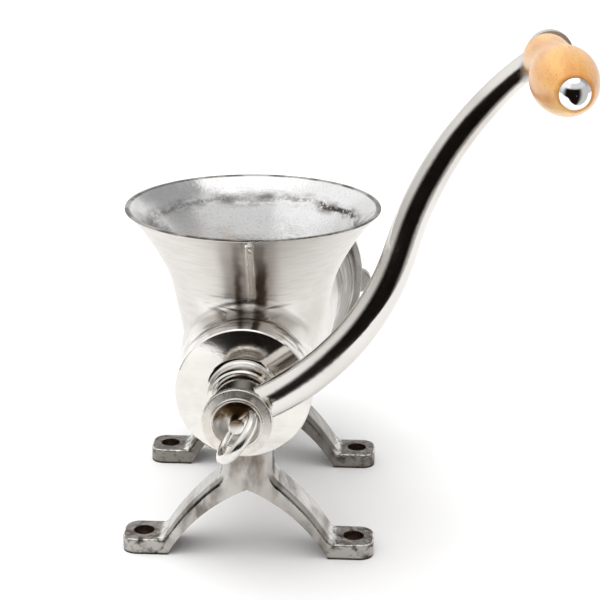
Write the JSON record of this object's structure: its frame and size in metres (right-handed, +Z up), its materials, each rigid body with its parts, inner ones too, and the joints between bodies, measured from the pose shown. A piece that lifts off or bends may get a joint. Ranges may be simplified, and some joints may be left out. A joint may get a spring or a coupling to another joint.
{
  "type": "poppy seed mill",
  "caption": "Hand poppy seed mill with a flared round hopper, S-shaped crank with a turned wooden grip, burr housing and bolt-down legs.",
  "frame": {"origin": "centre of the four foot bolt holes, on the plane the feet stand on", "axes": "+Z up, -Y towards the crank and its grip, +Y towards the burr housing and its cover, +X to the right as seen from the crank side"},
  "size_m": [0.1723, 0.3125, 0.2317],
  "materials": {
    "tinned_casting": "tinned and polished casting",
    "bronze": "turned bronze",
    "hardened_iron": "hardened, ground teeth",
    "screw_steel": "zinc plated",
    "worm_iron": "tinned, satin",
    "shaft_steel": "turned",
    "bearing_steel": "ground and polished",
    "tinned_steel": "tinned",
    "polished_steel": "tinned and polished",
    "nickel_steel": "nickel plated",
    "chrome_trim": "chrome plated",
    "varnished_beech": "clear varnish"
  },
  "bodies": {
    "mill": {"mill_body": "tinned_casting", "front_leg_frame": "tinned_casting", "rear_leg_frame": "tinned_casting", "front_bush": "bronze", "fixed_burr": "hardened_iron", "fixed_burr_screws": "screw_steel"},
    "cover": {"rear_cover": "tinned_casting", "rear_bush": "bronze"},
    "ring_nut": {"ring_nut": "tinned_casting"},
    "thrust_carriage": {"thrust_ball": "bearing_steel"},
    "rotor": {"drive_shaft": "shaft_steel", "feed_worm": "worm_iron", "worm_pin": "screw_steel", "rotating_burr": "hardened_iron", "burr_pin": "screw_steel", "crank_arm": "polished_steel", "grip_ferrule": "chrome_trim", "grip_screw": "chrome_trim"},
    "grip": {"wooden_grip": "varnished_beech"},
    "adjuster": {"adjusting_screw": "tinned_steel"},
    "lock_nut": {"lock_nut": "tinned_steel"},
    "crank_washer": {"crank_washer": "screw_steel"},
    "crank_screw": {"crank_screw": "nickel_steel"},
    "pull_ring": {"pull_ring": "nickel_steel"}
  },
  "joints": [
    {"name": "cover_travel", "type": "slide", "parent": "mill", "child": "cover", "axis": [0, 1, 0], "range_m": [0, 0.00025]},
    {"name": "ring_nut_turn", "type": "hinge", "parent": "cover", "child": "ring_nut", "pos_m": [0, 0.085, 0.08], "axis": [0, 1, 0], "range_deg": [-0.5, 60.5]},
    {"name": "burr_gap", "type": "slide", "parent": "cover", "child": "thrust_carriage", "axis": [0, 1, 0], "range_m": [-0.0005, 0.0012]},
    {"name": "burr_adjust_turn", "type": "hinge", "parent": "thrust_carriage", "child": "adjuster", "pos_m": [0, 0.12, 0.08], "axis": [0, 1, 0], "range_deg": [-120.5, 288.5]},
    {"name": "crank_spin", "type": "hinge", "parent": "thrust_carriage", "child": "rotor", "pos_m": [0, 0, 0.08], "axis": [0, 1, 0], "continuous": true},
    {"name": "grip_spin", "type": "hinge", "parent": "rotor", "child": "grip", "pos_m": [0.10654, -0.1042, 0.2207], "axis": [-0.0454, 0.999, 0], "continuous": true},
    {"name": "crank_screw_travel", "type": "slide", "parent": "rotor", "child": "crank_washer", "axis": [0, -1, 0], "range_m": [-0.00001, 0.00301]},
    {"name": "crank_screw_turn", "type": "hinge", "parent": "crank_washer", "child": "crank_screw", "pos_m": [0, -0.1, 0.08], "axis": [0, -1, 0], "range_deg": [0, 1080]},
    {"name": "ring_swing", "type": "hinge", "parent": "crank_screw", "child": "pull_ring", "pos_m": [0, -0.1071, 0.08], "axis": [0.6046, 0, 0.7965], "range_deg": [-75, 62]},
    {"name": "lock_nut_turn", "type": "hinge", "parent": "cover", "child": "lock_nut", "pos_m": [0, 0.109, 0.08], "axis": [0, 1, 0], "range_deg": [0, 90]}
  ],
  "couplings": [
    {"joint": "ring_nut_turn", "follows": "cover_travel", "rad_per_m": 4188.8},
    {"joint": "burr_adjust_turn", "follows": "burr_gap", "rad_per_m": 4188.8},
    {"joint": "crank_screw_travel", "follows": "crank_screw_turn", "m_per_rad": 0.00015915}
  ]
}
